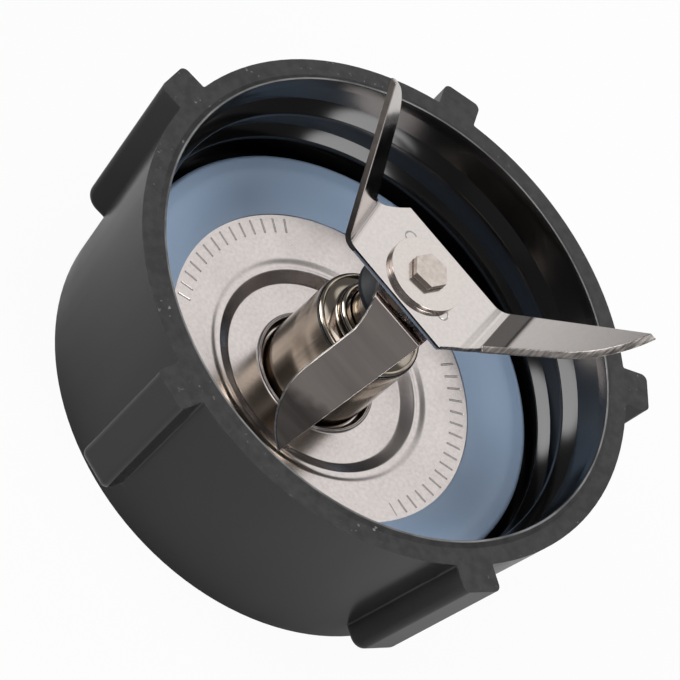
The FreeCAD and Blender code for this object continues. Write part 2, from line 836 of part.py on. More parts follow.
def main():
    pieces = [
        make_jar_cap(),
        make_sealing_ring(),
        make_flange_plate(),
        make_bearing_tower(),
        make_seal_cap(),
        make_drive_shaft(),
        make_drive_coupling(),
        make_upper_blade(),
        make_lower_blade(),
    ]
    pieces += make_stack()
    doc.recompute()
    check(pieces)
    os.makedirs("parts", exist_ok=True)
    for piece in pieces:
        piece.Shape.exportStep(f"parts/{piece.Label}.step")
        print(f"{piece.Label}: {len(piece.Shape.Solids)} solid, {piece.Shape.Volume:.1f} mm3")


main()
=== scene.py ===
# %% [markdown]
# # A blender's blade unit
#
# The unit screws under a blender jar. A moulded collar holds a soft sealing ring and a pressed
# steel plate, and the plate carries a bearing tower in which a rotor with four wings turns.
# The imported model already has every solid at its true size, so this notebook dresses it: it
# smooths the solids, adds the small marks that only a surface has, mixes a material for each
# real finish, and sets a camera and soft lamps round it.

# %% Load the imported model
import json
import math

import bmesh
import bpy
from mathutils import Matrix, Vector


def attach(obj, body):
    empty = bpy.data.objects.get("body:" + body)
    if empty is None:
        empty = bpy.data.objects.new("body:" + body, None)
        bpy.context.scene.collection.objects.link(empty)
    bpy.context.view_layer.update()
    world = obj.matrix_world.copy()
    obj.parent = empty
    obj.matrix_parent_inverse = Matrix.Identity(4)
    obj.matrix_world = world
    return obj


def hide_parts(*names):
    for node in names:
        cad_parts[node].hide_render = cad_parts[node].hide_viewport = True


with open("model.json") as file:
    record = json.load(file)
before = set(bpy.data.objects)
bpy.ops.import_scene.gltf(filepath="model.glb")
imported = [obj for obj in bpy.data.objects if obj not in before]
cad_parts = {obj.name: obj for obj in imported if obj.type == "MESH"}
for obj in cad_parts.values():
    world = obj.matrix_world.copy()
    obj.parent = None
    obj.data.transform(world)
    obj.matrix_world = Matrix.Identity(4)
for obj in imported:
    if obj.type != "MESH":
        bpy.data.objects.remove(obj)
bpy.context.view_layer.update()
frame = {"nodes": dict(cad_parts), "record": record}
MM = 0.001

# %% [markdown]
# ## A skin for each solid
#
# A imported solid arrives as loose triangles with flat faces, so a turned cylinder would show
# facets and a flat sheet would have no edge to catch the light. Each node gets a copy as its
# skin. The copy's doubled corners are merged and its flat areas are joined into single faces.
# On the collar, the blades, the shaft and the top washer a Bevel modifier then takes a tenth or
# two of a millimetre off the edges, as a mould, a press or a polishing wheel would, and the
# faces are shaded smooth. A Weighted Normal modifier gives the large faces the say over the
# small ones, so that flat areas stay flat. The copy then stands for its node, at the size that
# the solid has.

# %% Skins of the nodes
MERGE = 0.002 * MM
CLOSE = 0.02 * MM
FLAT_WITHIN = math.radians(0.3)
SMOOTH_BELOW = math.radians(30)
EDGE_FROM = math.radians(35)
EDGE_STEPS = 2


def only(piece):
    """Select one object alone and make it active."""
    bpy.ops.object.select_all(action="DESELECT")
    piece.select_set(True)
    bpy.context.view_layer.objects.active = piece


def body_of(node):
    return next(name for name, nodes in frame["record"]["behaviour"]["bodies"].items() if node in nodes)


def select_edges(piece, wanted):
    """In edit mode, select the edges that the test picks out."""
    bpy.ops.mesh.select_all(action="DESELECT")
    mesh = bmesh.from_edit_mesh(piece.data)
    for edge in mesh.edges:
        edge.select_set(wanted(edge))
    bmesh.update_edit_mesh(piece.data)


def skin(node, bevel=0.0, sharp=None, reshape=None):
    """A clean, smooth-shaded copy of a node that stands for it; the bevel is in millimetres."""
    piece = frame["nodes"][node].copy()
    piece.data = frame["nodes"][node].data.copy()
    piece.name = f"{node}_skin"
    piece.parent = None
    piece.matrix_world = Matrix.Identity(4)
    bpy.context.collection.objects.link(piece)
    only(piece)
    bpy.ops.object.mode_set(mode="EDIT")
    bpy.ops.mesh.select_all(action="SELECT")
    bpy.ops.mesh.remove_doubles(threshold=MERGE)
    bpy.ops.mesh.dissolve_limited(angle_limit=FLAT_WITHIN)
    bpy.ops.object.mode_set(mode="OBJECT")
    if reshape:
        reshape(piece)
    if bevel:
        rounding = piece.modifiers.new("edges", "BEVEL")
        rounding.width = bevel * MM
        rounding.segments = EDGE_STEPS
        rounding.limit_method = "ANGLE"
        rounding.angle_limit = EDGE_FROM
        bpy.ops.object.modifier_apply(modifier="edges")
    bpy.ops.object.shade_smooth_by_angle(angle=SMOOTH_BELOW)
    if sharp:
        bpy.ops.object.mode_set(mode="EDIT")
        select_edges(piece, sharp)
        bpy.ops.mesh.mark_sharp()
        bpy.ops.object.mode_set(mode="OBJECT")
    weighting = piece.modifiers.new("weighting", "WEIGHTED_NORMAL")
    weighting.keep_sharp = True
    weighting.mode = "FACE_AREA_WITH_ANGLE"
    bpy.ops.object.modifier_apply(modifier="weighting")
    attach(piece, body_of(node))
    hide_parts(node)
    return piece


def ring_at(radius, height):
    """A test for edges on a ring about the axis."""
    def wanted(edge):
        return all(abs(point.co.xy.length - radius) < CLOSE and abs(point.co.z - height) < CLOSE
                   for point in edge.verts)
    return wanted


# how much comes off the edges, in millimetres
EDGES = {"upper_blade": 0.25, "lower_blade": 0.15, "drive_shaft": 0.1, "top_washer": 0.06}
MADE_AFRESH = ["jar_cap", "sealing_ring", "flange_plate", "bearing_tower", "seal_cap", "blade_spacer"]
skins = {node: skin(node, EDGES.get(node, 0.0)) for node in frame["nodes"] if node not in MADE_AFRESH}
print("skins:", len(skins), "faces:", sum(len(piece.data.polygons) for piece in skins.values()))

# %% [markdown]
# ## The collar and its thread
#
# The collar's bore is the one surface that triangles can't carry: a thread is a helical ramp, and
# its long thin triangles break a reflection into steps. So the collar's skin loses its bore, the
# two rims that are left are bridged with one smooth cone, and the thread is turned afresh. Its
# profile starts as a circle of six points that are pulled into the ridge's section, the two
# corners of the crest are rounded, and a Screw modifier sweeps it up the bore, as the core of the
# mould does when it unscrews. The low bead round the mouth, where the mould's halves meet, is
# swept in the same way, in one level turn.

# %% The collar without its bore
BORE_LOW = 11.7 * MM
BORE_HIGH = 29.6 * MM
BORE_MARGIN = 0.01 * MM
MOUTH_RADIUS = 36.3 * MM
COLLAR_EDGE = 0.15


def in_bore(face):
    """True for the faces of the bore's wall and thread."""
    middle = face.calc_center_median()
    return middle.xy.length < MOUTH_RADIUS and BORE_LOW + BORE_MARGIN < middle.z < BORE_HIGH - BORE_MARGIN


def smooth_bore(piece):
    """Change the threaded bore for one smooth cone."""
    only(piece)
    bpy.ops.object.mode_set(mode="EDIT")
    bpy.ops.mesh.select_mode(type="FACE")
    bpy.ops.mesh.select_all(action="DESELECT")
    mesh = bmesh.from_edit_mesh(piece.data)
    for face in mesh.faces:
        face.select_set(in_bore(face))
    bmesh.update_edit_mesh(piece.data)
    bpy.ops.mesh.delete(type="FACE")
    bpy.ops.mesh.select_mode(type="EDGE")
    bpy.ops.mesh.select_all(action="DESELECT")
    bpy.ops.mesh.select_non_manifold(extend=False)
    bpy.ops.mesh.bridge_edge_loops()
    bpy.ops.object.mode_set(mode="OBJECT")


skins["jar_cap"] = skin("jar_cap", COLLAR_EDGE, ring_at(MOUTH_RADIUS, BORE_HIGH), smooth_bore)
print("collar faces:", len(skins["jar_cap"].data.polygons))

# %% Sweeping a section round the axis
ROUND_STEPS = 240


def section(name, points):
    """A circle of vertices pulled into a section of radius and height."""
    bpy.ops.object.select_all(action="DESELECT")
    bpy.ops.mesh.primitive_circle_add(vertices=len(points), radius=MM, fill_type="NGON")
    piece = bpy.context.object
    piece.name = name
    for point, (out, height) in zip(piece.data.vertices, points):
        point.co = (out * MM, 0, height * MM)
    return piece


def keep_outline(piece):
    """Delete the face of a section and keep its outline."""
    only(piece)
    bpy.ops.object.mode_set(mode="EDIT")
    bpy.ops.mesh.select_all(action="SELECT")
    bpy.ops.mesh.delete(type="ONLY_FACE")
    bpy.ops.object.mode_set(mode="OBJECT")


def sweep_round(piece, turns, rise, steps):
    """Sweep the outline of a section about the axis."""
    sweep = piece.modifiers.new("sweep", "SCREW")
    sweep.axis = "Z"
    sweep.angle = math.radians(360 * turns)
    sweep.screw_offset = rise * MM
    sweep.steps = sweep.render_steps = steps
    sweep.use_merge_vertices = rise == 0
    sweep.merge_threshold = 0.001 * MM
    bpy.ops.object.modifier_apply(modifier="sweep")


def smooth_turned(piece, smooth):
    """Face the mesh outwards and shade it smooth, with flat parts kept flat."""
    only(piece)
    bpy.ops.object.mode_set(mode="EDIT")
    bpy.ops.mesh.select_all(action="SELECT")
    bpy.ops.mesh.normals_make_consistent(inside=False)
    bpy.ops.object.mode_set(mode="OBJECT")
    bpy.ops.object.shade_smooth_by_angle(angle=math.radians(smooth))
    weighting = piece.modifiers.new("weighting", "WEIGHTED_NORMAL")
    weighting.keep_sharp = True
    bpy.ops.object.modifier_apply(modifier="weighting")


def full_round(name, points):
    """A section swept once round the axis."""
    piece = section(name, points)
    keep_outline(piece)
    sweep_round(piece, 1, 0, ROUND_STEPS)
    smooth_turned(piece, 40)
    return piece


print("a round has a face every", 360 / ROUND_STEPS, "degrees")

# %% The bead round the mouth
RIM_BEAD = [(36.6, 29.8), (36.28, 29.6), (36.4, 31.25), (36.5, 31.38), (36.7, 31.38), (37.0, 31.2),
            (37.5, 30.98), (37.5, 30.5)]

bead = full_round("rim_bead", RIM_BEAD)
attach(bead, "base")
print("bead faces:", len(bead.data.polygons))

# %% The jar thread
THREAD_PITCH = 6.35
THREAD_TURNS = 1.9
THREAD_START = -16.5
THREAD_STEPS = 456
RIDGE = [(36.9, 16.0), (36.3, 15.935), (34.7, 13.835), (34.7, 13.035), (36.3, 12.335), (36.9, 12.3)]
CREST_WITHIN = 35.0 * MM
CREST_ROUND = 0.15 * MM


def jar_thread():
    """The ridge inside the collar, swept up the bore from its profile."""
    ridge = section("jar_thread", RIDGE)
    bpy.ops.object.mode_set(mode="EDIT")
    bpy.ops.mesh.select_mode(type="VERT")
    bpy.ops.mesh.select_all(action="DESELECT")
    mesh = bmesh.from_edit_mesh(ridge.data)
    for point in mesh.verts:
        point.select_set(point.co.x < CREST_WITHIN)
    bmesh.update_edit_mesh(ridge.data)
    bpy.ops.mesh.bevel(affect="VERTICES", offset=CREST_ROUND, segments=4)
    bpy.ops.object.mode_set(mode="OBJECT")
    keep_outline(ridge)
    sweep_round(ridge, THREAD_TURNS, THREAD_PITCH * THREAD_TURNS, THREAD_STEPS)
    bpy.ops.object.mode_set(mode="EDIT")
    bpy.ops.mesh.select_all(action="DESELECT")
    bpy.ops.mesh.select_non_manifold(extend=False)
    bpy.ops.mesh.edge_face_add()
    bpy.ops.object.mode_set(mode="OBJECT")
    ridge.data.transform(Matrix.Rotation(math.radians(THREAD_START), 4, "Z"))
    smooth_turned(ridge, 50)
    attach(ridge, "base")
    return ridge


thread = jar_thread()
print("thread faces:", len(thread.data.polygons), "from",
      round(min(point.co.z for point in thread.data.vertices) / MM, 2), "to",
      round(max(point.co.z for point in thread.data.vertices) / MM, 2), "mm")

# %% [markdown]
# ## Turned and pressed rounds
#
# The plate, the tower, the cap on it, the sealing ring and the disc under the blades are round,
# and their character lies in small curves: the plate's dish starts with a tight bend and ends in
# a soft swell, its margin is a very flat cone, and its hole is turned up into a thin double lip.
# In polished steel each such curve is a line of light. Each piece is therefore swept from its own
# section, in which arcs and swells are drawn with as many points as their reflections need. A
# section lists radius and height in millimetres, in order round the outline.

# %% Sections of arcs and swells


def arc(centre, radius, start, end, count=8):
    """Points on an arc, angles measured from outwards towards up."""
    angles = [math.radians(start + (end - start) * step / count) for step in range(count + 1)]
    return [(centre[0] + radius * math.cos(angle), centre[1] + radius * math.sin(angle)) for angle in angles]


def swell(start, end, count=12):
    """Points on a soft S-curve between two levels."""
    shares = [step / count for step in range(count + 1)]
    return [(start[0] + (end[0] - start[0]) * share,
             start[1] + (end[1] - start[1]) * share * share * (3 - 2 * share)) for share in shares]


def turned(node, points):
    """A round piece swept from its section, standing for its node."""
    piece = full_round(f"{node}_turned", points)
    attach(piece, body_of(node))
    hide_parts(node)
    print(node, "faces:", len(piece.data.polygons))
    return piece


print("a swell of 1 mm in four steps:", [height for reach, height in swell((0, 0), (1, 1), 4)])

# %% The pressed plate
FLOOR = 10.95
PLATE_TOP = 12.7
SHELF = 11.9
RING_FOOT = 12.95

plate_upper = [(8.62, 10.0), (8.62, 10.5), (9.1, 11.15)] + arc((9.21, 11.2), 0.09, 150, 30, 4)
plate_upper += [(9.34, 11.1)] + arc((9.46, 11.2), 0.11, 150, 0, 6) + [(9.6, 11.02), (9.7, 10.96), (9.85, FLOOR)]
plate_upper += [(12.0, FLOOR), (14.3, FLOOR), (14.42, 10.96), (14.54, 11.0), (14.7, 11.07)]
plate_upper += [(15.2, 11.31), (15.7, 11.56), (16.1, 11.76), (16.3, 11.86), (16.4, 11.89), (16.5, SHELF)]
plate_upper += [(16.7, SHELF)]
plate_upper += swell((16.8, SHELF), (18.4, 12.25), 12)
plate_upper += [(24.8, RING_FOOT), (25.3, RING_FOOT), (25.5, PLATE_TOP), (33.2, PLATE_TOP), (33.3, 12.6)]
plate_lower = [(33.3, 11.7), (20.5, 11.7), (16.0, 10.75), (14.6, 9.95), (8.45, 9.95), (8.45, 10.0)]
skins["flange_plate"] = turned("flange_plate", plate_upper + plate_lower)

# %% The tower and its cap
tower = [(6.5, 8.45), (10.4, 8.45), (10.4, 9.95), (8.4, 9.95), (8.4, 18.0), (8.4, 24.78), (8.38, 24.82)]
tower += [(8.28, 24.86), (8.28, 24.94), (8.38, 24.98)] + arc((7.7, 24.95), 0.7, 4, 80, 10)
tower += [(7.66, 25.6), (7.64, 25.3), (6.5, 25.3)]
skins["bearing_tower"] = turned("bearing_tower", tower)

cap = [(7.62, 25.3), (7.62, 25.58), (7.55, 25.64)] + arc((6.3, 26.39), 0.4, -105, -180, 8)
cap += arc((5.25, 26.95), 0.65, 0, 90, 10) + [(4.75, 27.6)] + arc((4.75, 27.55), 0.05, 90, 180, 2)
cap += [(4.7, 26.9), (5.0, 26.9), (5.8, 24.95), (6.48, 24.95), (6.48, 25.4)]
skins["seal_cap"] = turned("seal_cap", cap)

# %% The sealing ring and the spacer
ring = [(25.5, PLATE_TOP), (25.3, RING_FOOT), (24.95, RING_FOOT)] + arc((24.95, 13.1), 0.15, -90, -200, 5)
ring += swell((24.83, 13.2), (31.4, 15.4), 30)[1:] + arc((32.7, 14.6), 0.8, 90, 0, 8)
ring += arc((32.7, 13.5), 0.8, 0, -90, 6)
skins["sealing_ring"] = turned("sealing_ring", ring)

spacer = [(2.9, 32.7)] + arc((6.55, 32.85), 0.15, -90, 0, 3) + arc((6.2, 33.3), 0.5, 0, 45, 4)
spacer += [(5.35, 34.85), (5.1, 35.08), (2.9, 35.08)]
skins["blade_spacer"] = turned("blade_spacer", spacer)

# %% [markdown]
# ## Nodes and colours
#
# Every material below is a small tree of shader nodes. One function adds a node, gives each of
# its inputs a plain value or a link from another node, and returns its outputs. Another turns a
# colour as it is seen on a screen into the linear numbers that a shader wants. Patterns follow
# the part's axis, so two more give a direction about it and a point's distance to it.

# %% Helpers for materials
MATH = "ShaderNodeMath"
VECTOR_MATH = "ShaderNodeVectorMath"
MAP_RANGE = "ShaderNodeMapRange"
NOISE = "ShaderNodeTexNoise"
MIX = "ShaderNodeMix"
BUMP = "ShaderNodeBump"


def linear(code, alpha=1.0):
    """An sRGB hex colour as linear numbers."""
    channels = [int(code[place:place + 2], 16) / 255 for place in (1, 3, 5)]
    return [c / 12.92 if c <= 0.04045 else ((c + 0.055) / 1.055) ** 2.4 for c in channels] + [alpha]


def add(tree, kind, inputs=(), **properties):
    """Add a node, give each input a value or a link, and return the outputs."""
    node = tree.nodes.new(kind)
    for name, value in properties.items():
        setattr(node, name, value)
    for socket, value in inputs.items() if isinstance(inputs, dict) else enumerate(inputs):
        if isinstance(value, bpy.types.NodeSocket):
            tree.links.new(value, node.inputs[socket])
        else:
            node.inputs[socket].default_value = value
    return node.outputs


def direction(azimuth, elevation):
    """A unit vector from its angles in degrees."""
    across = math.cos(math.radians(elevation))
    return (across * math.cos(math.radians(azimuth)), across * math.sin(math.radians(azimuth)),
            math.sin(math.radians(elevation)))


def from_axis(tree, place):
    """A point's offset from the axis, and how long that is."""
    offset = add(tree, VECTOR_MATH, (place, (1, 1, 0)), operation="MULTIPLY")[0]
    return offset, add(tree, VECTOR_MATH, (offset,), operation="LENGTH")["Value"]


def new_material(name):
    """A material, its empty tree and the place of each of its points."""
    material = bpy.data.materials.new(name)
    material.use_nodes = True
    tree = material.node_tree
    tree.nodes.clear()
    return material, tree, add(tree, "ShaderNodeTexCoord")["Object"]


def finish_material(tree, inputs):
    """Close a tree with the surface that these inputs make."""
    shader = add(tree, "ShaderNodeBsdfPrincipled", inputs)["BSDF"]
    add(tree, "ShaderNodeOutputMaterial", {"Surface": shader})


def dress(piece, material):
    """Give a piece one material."""
    piece.data.materials.clear()
    piece.data.materials.append(material)


def tell(*materials):
    """Print how large each material's tree is."""
    for material in materials:
        print(material.name, "has", len(material.node_tree.nodes), "nodes")


print("mid grey #808080 is", round(linear("#808080")[0], 3), "in linear numbers")

# %% [markdown]
# ## The collar's plastic
#
# The collar is injection-moulded polypropylene, black right through. Its drum comes out of the
# mould shiny, its bore and thread shinier still from a polished core, and only the top of the rim
# and of the lugs is dull, where the jar and the worktop rub it. So the roughness is read from two
# places: the distance to the axis tells the bore from the drum, and the height tells the top. The
# same distance makes the bore's black darker than the drum's, which is painted shade in the bore.
# There the rubbing has also left fine pale scuffs, and a broken pale line painted along the crest
# of the bead is a painted highlight. The scale of a noise is one over the size of its clouds in
# metres, so 90 gives clouds of 11 mm, 1300 gives scuffs of three quarters of a millimetre and 2600
# the fine grain of the mould.

# %% Moulded polypropylene
BEVEL_RADIUS = 36.85 * MM
CREST_RADIUS = 36.6 * MM
RIM_HEIGHT = 31.0 * MM
GRAIN_STEP = 0.03 * MM
# the roughness of the polished bore, and what the drum, the rubbed top and its clouds add
BORE_ROUGHNESS = 0.1
DRUM_ADDS = 0.09
TOP_ADDS = 0.24
CLOUDS_ADD = 0.07


def crest_highlight_line(tree, place, radius, height):
    """A broken painted highlight along the crest of the bead."""
    inner = add(tree, MAP_RANGE, (radius, CREST_RADIUS - 0.16 * MM, CREST_RADIUS - 0.1 * MM))[0]
    outer = add(tree, MAP_RANGE, (radius, CREST_RADIUS + 0.12 * MM, CREST_RADIUS + 0.2 * MM, 1.0, 0.0))[0]
    above = add(tree, MAP_RANGE, (height, RIM_HEIGHT + 0.2 * MM, RIM_HEIGHT + 0.3 * MM))[0]
    clouds = add(tree, NOISE, {"Vector": place, "Scale": 200, "Detail": 4})[0]
    line = add(tree, MAP_RANGE, (clouds, 0.35, 0.65, 0.3, 1.0))[0]
    for share in (inner, outer, above):
        line = add(tree, MATH, (line, share), operation="MULTIPLY")[0]
    return line


def moulded_polypropylene():
    material, tree, place = new_material("moulded polypropylene")
    radius = from_axis(tree, place)[1]
    height = add(tree, "ShaderNodeSeparateXYZ", (place,))["Z"]
    outside = add(tree, MAP_RANGE, (radius, MOUTH_RADIUS, BEVEL_RADIUS))[0]
    high = add(tree, MAP_RANGE, (height, RIM_HEIGHT - 0.25 * MM, RIM_HEIGHT - 0.05 * MM))[0]
    top = add(tree, MATH, (outside, high), operation="MULTIPLY")[0]
    clouds = add(tree, NOISE, {"Vector": place, "Scale": 90, "Detail": 4})[0]
    roughness = BORE_ROUGHNESS
    for share, more in ((outside, DRUM_ADDS), (top, TOP_ADDS), (clouds, CLOUDS_ADD)):
        roughness = add(tree, MATH, (share, more, roughness), operation="MULTIPLY_ADD")[0]
    specks = add(tree, NOISE, {"Vector": place, "Scale": 1300, "Detail": 3})[0]
    scuffs = add(tree, MAP_RANGE, (specks, 0.66, 0.74))[0]
    regions = add(tree, NOISE, {"Vector": place, "Scale": 110, "Detail": 2})[0]
    patches = add(tree, MAP_RANGE, (regions, 0.48, 0.62))[0]
    scuffs_and_crest_highlight = add(tree, MATH, (scuffs, patches), operation="MULTIPLY")[0]
    scuffs_and_crest_highlight = add(tree, MATH, (top, scuffs_and_crest_highlight), operation="MULTIPLY")[0]
    # the pale scuffs are real wear; the pale crest line joined to them here is a painted highlight
    scuffs_and_crest_highlight = add(tree, MATH, (scuffs_and_crest_highlight, crest_highlight_line(tree, place, radius, height)), operation="MAXIMUM")[0]
    # the bore's black is darker than the drum's: painted shade inside the collar
    black = add(tree, MIX, {0: outside, 6: linear("#0b0b0b"), 7: linear("#1c1c1c")}, data_type="RGBA")[2]
    uneven = add(tree, NOISE, {"Vector": place, "Scale": 700, "Detail": 5})[0]
    uneven = add(tree, MAP_RANGE, (uneven, 0.35, 0.65))[0]
    rubbed = add(tree, MIX, {0: uneven, 6: linear("#222122"), 7: linear("#333233")}, data_type="RGBA")[2]
    dull = add(tree, MIX, {0: top, 6: black, 7: rubbed}, data_type="RGBA")[2]
    colour = add(tree, MIX, {0: scuffs_and_crest_highlight, 6: dull, 7: linear("#8a8989")}, data_type="RGBA")[2]
    grain = add(tree, NOISE, {"Vector": place, "Scale": 2600, "Detail": 2})[0]
    depth = add(tree, MATH, (top, 0.35, 0.03), operation="MULTIPLY_ADD")[0]
    bump = add(tree, BUMP, {"Distance": GRAIN_STEP, "Height": grain, "Strength": depth})["Normal"]
    finish_material(tree, {"IOR": 1.49, "Base Color": colour, "Roughness": roughness, "Normal": bump})
    return material


polypropylene = moulded_polypropylene()
tell(polypropylene)

# %% [markdown]
# ## The sealing ring's rubber
#
# The ring is a soft nitrile rubber in blue-grey. Rubber is never quite even: it has a slight
# bloom, which shows as faint lighter clouds, and a low sheen.

# %% Nitrile rubber


def nitrile_rubber():
    material, tree, place = new_material("nitrile rubber")
    bloom = add(tree, NOISE, {"Vector": place, "Scale": 60, "Detail": 5})[0]
    colour = add(tree, MIX, {0: bloom, 6: linear("#99b1cf"), 7: linear("#a4bbd7")}, data_type="RGBA")[2]
    bump = add(tree, BUMP, {"Distance": 0.02 * MM, "Strength": 0.2, "Height": bloom})["Normal"]
    finish_material(tree, {"IOR": 1.5, "Roughness": 0.42, "Base Color": colour, "Normal": bump})
    return material


rubber = nitrile_rubber()
tell(rubber)

# %% [markdown]
# ## Stainless steel
#
# All the bright metal is stainless steel, and what differs is how each piece was worked. The
# plate is pressed from sheet with a fine mill finish, the tower is drawn, the cap is turned and
# polished, the shaft is hexagonal bar with a speckled end, and the blades are polished and then
# ground along their cutting edges. The tower's soft dark streaks along its length are painted
# reflections in its colour, and so are the clouds on the lower wings. One function takes those
# differences as values: how rough the surface is, how close and deep its scratches are, how much
# the sheen is mottled, and how far the sheet is from flat. A scale of 900 gives scratches about a
# millimetre apart, and 70 gives waves of about 14 mm.

# %% Stainless steel
BUMP_STEP = 0.02 * MM
FINE_SPECKLE = 1000
# how deep marks and the scratches of wear go, in bump steps, and how much painted shade darkens marks and tips
MARK_DEPTH = 4.0
MARK_PAINTED_SHADE = 0.3
WORN_SCRATCHES = 0.6
PAINTED_TIP_SHADE = 0.5


def stainless_steel(name, colour_code, roughness, scratch_scale, scratch_depth, mottle=0.0, waviness=0.0,
                    marks=None, relief=None, worn_and_painted_dark=None, grain=(1, 0.12, 1), mottle_scale=1900):
    """Steel with scratches, a mottled sheen and, where asked, waves, a relief, and marks and wear darkened with
    painted shade.
    """
    material, tree, place = new_material(name)
    stretched = add(tree, "ShaderNodeMapping", {"Vector": place, "Scale": grain})[0]
    scratches = add(tree, NOISE, {"Vector": stretched, "Scale": scratch_scale, "Detail": 6})[0]
    sheen = add(tree, NOISE, {"Vector": place, "Scale": 120, "Detail": 4})[0]
    rough = add(tree, MAP_RANGE, (sheen, 0.3, 0.7, roughness * 0.8, roughness * 1.25))[0]
    mottled = stretched if mottle_scale < FINE_SPECKLE else place
    speckle = add(tree, NOISE, {"Vector": mottled, "Scale": mottle_scale, "Detail": 3})[0]
    shade = add(tree, MAP_RANGE, (speckle, 0.3, 0.7, 1 - mottle, 1.0))[0]
    height = add(tree, MATH, (scratches, scratch_depth), operation="MULTIPLY")[0]
    if worn_and_painted_dark:
        share = worn_and_painted_dark(tree, place)
        # the tips' colour is darkened here: painted shade that stands for a dark reflection
        shade = add(tree, MATH, (share, -PAINTED_TIP_SHADE, shade), operation="MULTIPLY_ADD")[0]
        deeper = add(tree, MATH, (share, WORN_SCRATCHES), operation="MULTIPLY")[0]
        height = add(tree, MATH, (scratches, deeper, height), operation="MULTIPLY_ADD")[0]
    waves = add(tree, NOISE, {"Vector": place, "Scale": 70, "Detail": 1})[0]
    height = add(tree, MATH, (waves, waviness, height), operation="MULTIPLY_ADD")[0]
    if marks:
        stamped = marks(tree, place)
        height = add(tree, MATH, (stamped, -MARK_DEPTH, height), operation="MULTIPLY_ADD")[0]
        # the marks' colour is darkened: painted shade in the stamped grooves
        shade = add(tree, MATH, (stamped, -MARK_PAINTED_SHADE, shade), operation="MULTIPLY_ADD")[0]
    if relief:
        height = add(tree, MATH, (height, relief(tree, place)), operation="ADD")[0]
    colour = add(tree, MIX, {0: shade, 6: (0, 0, 0, 1), 7: linear(colour_code)}, data_type="RGBA")[2]
    bump = add(tree, BUMP, {"Distance": BUMP_STEP, "Strength": 1.0, "Height": height})["Normal"]
    finish_material(tree, {"Metallic": 1.0, "Base Color": colour, "Roughness": rough, "Normal": bump})
    return material


# the tower's steel: its stretched mottle gives dark streaks along the axis, a painted reflection
drawn_steel_painted_streaks = stainless_steel("drawn stainless steel with painted streaks", "#c3b7a8", 0.14, 1400, 0.1, 0.6, grain=(1, 1, 0.03),
                              mottle_scale=420)
turned_steel = stainless_steel("turned stainless steel", "#b8ada0", 0.1, 1400, 0.1, 0.05)
shaft_steel = stainless_steel("hexagonal steel bar", "#d6cbc3", 0.22, 900, 0.4, 0.22, mottle_scale=1200)
washer_steel = stainless_steel("rolled stainless steel", "#dcd4cf", 0.17, 1400, 0.1, 0.06)
tell(drawn_steel_painted_streaks, turned_steel, shaft_steel, washer_steel)

# %% [markdown]
# ## Stamped ticks on the plate
#
# The plate's margin carries stamped ticks in two arcs, two millimetres long and a quarter wide.
# They are pressed less than a tenth of a millimetre deep, which is too shallow for a mesh to be
# worth its faces. So the material finds each point's angle about the axis, cuts the angle into
# steps, and sinks a thin stroke in each step as a bump. The strokes are also darkened, which is
# painted shade in the grooves.

# %% Ticks from the angle about the axis
TICK_STEP = 5.0
TICK_WIDTH = 0.26 * MM
TICK_INNER = 22.0 * MM
TICK_OUTER = 24.2 * MM
TICK_END = 0.1 * MM
TICK_ARCS = ((-93.0, 36.0), (112.0, 42.0))


def stamped_ticks(tree, place):
    """Strokes at even angles about the axis, in two arcs."""
    axes = add(tree, "ShaderNodeSeparateXYZ", (place,))
    offset, radius = from_axis(tree, place)
    angle = add(tree, MATH, (axes["Y"], axes["X"]), operation="ARCTAN2")[0]
    across = add(tree, MATH, (angle, math.radians(TICK_STEP) / 2), operation="PINGPONG")[0]
    side = add(tree, MATH, (across, radius), operation="MULTIPLY")[0]
    ticks = add(tree, MAP_RANGE, (side, TICK_WIDTH * 0.35, TICK_WIDTH * 0.65, 1.0, 0.0))[0]
    from_inner = add(tree, MAP_RANGE, (radius, TICK_INNER, TICK_INNER + TICK_END))[0]
    to_outer = add(tree, MAP_RANGE, (radius, TICK_OUTER - TICK_END, TICK_OUTER, 1.0, 0.0))[0]
    heading = add(tree, VECTOR_MATH, (offset,), operation="NORMALIZE")[0]
    arcs = 0.0
    for middle, half in TICK_ARCS:
        facing = add(tree, VECTOR_MATH, (heading, direction(middle, 0)), operation="DOT_PRODUCT")["Value"]
        within = add(tree, MATH, (facing, math.cos(math.radians(half))), operation="GREATER_THAN")[0]
        arcs = add(tree, MATH, (arcs, within), operation="ADD")[0]
    for share in (from_inner, to_outer, arcs):
        ticks = add(tree, MATH, (ticks, share), operation="MULTIPLY")[0]
    return ticks


pressed_steel = stainless_steel("pressed stainless steel", "#dad2cf", 0.22, 900, 0.04, 0.1, 0.4, stamped_ticks)
tell(pressed_steel)
print("ticks in each arc:", [int(2 * half / TICK_STEP) for middle, half in TICK_ARCS])

# %% [markdown]
# ## Dark nylon and the hidden pieces
#
# The spacer under the blades is a blue-black nylon disc. The bushes are sintered bronze and the
# wick between them is felt. They stay out of sight in the tower, yet each still gets its own
# finish, because the rotor may be drawn out of the tower in another view.

# %% Nylon, bronze, felt and lip rubber


def plain_finish(name, low_code, high_code, roughness, metallic, scale, depth):
    """A material of two close colours in clouds, with a fine bump."""
    material, tree, place = new_material(name)
    clouds = add(tree, NOISE, {"Vector": place, "Scale": scale, "Detail": 4})[0]
    colour = add(tree, MIX, {0: clouds, 6: linear(low_code), 7: linear(high_code)}, data_type="RGBA")[2]
    bump = add(tree, BUMP, {"Distance": GRAIN_STEP, "Strength": depth, "Height": clouds})["Normal"]
    finish_material(tree, {"Roughness": roughness, "Metallic": metallic, "Base Color": colour, "Normal": bump})
    return material


